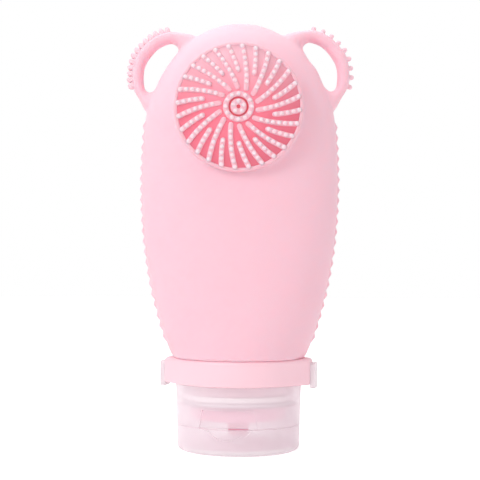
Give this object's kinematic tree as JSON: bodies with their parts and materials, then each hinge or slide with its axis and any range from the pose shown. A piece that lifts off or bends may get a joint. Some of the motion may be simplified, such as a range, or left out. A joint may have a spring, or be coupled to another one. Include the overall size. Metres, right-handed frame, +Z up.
{
  "type": "travel squeeze bottle",
  "caption": "Soft silicone squeeze bottle that stands on its flip-top screw cap, with a round scrub brush on its front and two ear loops.",
  "frame": {"origin": "on the floor, under the middle of the closed lid that the bottle stands on", "axes": "+Z up along the bottle's axis, -Y towards the viewer (the scrub brush's side), +X to the viewer's right"},
  "size_m": [0.0706, 0.043, 0.1312],
  "materials": {
    "pink_silicone": "soft matte",
    "brush_silicone": "soft matte",
    "pink_plastic": "fine matte",
    "frosted_plastic": "frosted translucent",
    "clear_silicone": "translucent",
    "white_seal": "matte",
    "spring_steel": "drawn wire"
  },
  "bodies": {
    "cap": {"cap_base": "frosted_plastic", "collar_ring": "pink_plastic", "spout_insert": "pink_plastic", "slit_valve": "clear_silicone", "catch_spring_right": "spring_steel", "catch_spring_left": "spring_steel"},
    "lid": {"flip_lid": "frosted_plastic"},
    "catch_right": {"catch_right": "frosted_plastic", "catch_washer_right": "spring_steel"},
    "catch_left": {"catch_left": "frosted_plastic", "catch_washer_left": "spring_steel"},
    "washer": {"seal_washer": "white_seal"},
    "bottle": {"neck_insert": "pink_plastic", "silicone_body": "pink_silicone", "brush_pad": "brush_silicone"}
  },
  "joints": [
    {"name": "lid_hinge", "type": "hinge", "parent": "cap", "child": "lid", "pos_m": [0.0036, 0.02039, 0.008], "axis": [0.9848, -0.1736, 0], "range_deg": [0, 180]},
    {"name": "bottle_turn", "type": "hinge", "parent": "cap", "child": "washer", "pos_m": [0, 0, 0.0162], "axis": [0, 0, 1], "range_deg": [0, 810]},
    {"name": "bottle_lift", "type": "slide", "parent": "washer", "child": "bottle", "axis": [0, 0, 1], "range_m": [0, 0.00675]},
    {"name": "catch_right_pull", "type": "slide", "parent": "cap", "child": "catch_right", "axis": [0.9848, -0.1736, 0], "range_m": [0, 0.0011], "stiffness_N_per_m": 400, "springref_m": -0.0006, "deforming": ["catch_spring_right"]},
    {"name": "catch_left_pull", "type": "slide", "parent": "cap", "child": "catch_left", "axis": [-0.9848, 0.1736, 0], "range_m": [0, 0.0011], "stiffness_N_per_m": 400, "springref_m": -0.0006, "deforming": ["catch_spring_left"]}
  ],
  "couplings": [
    {"joint": "bottle_lift", "follows": "bottle_turn", "m_per_rad": 0.00047746}
  ]
}
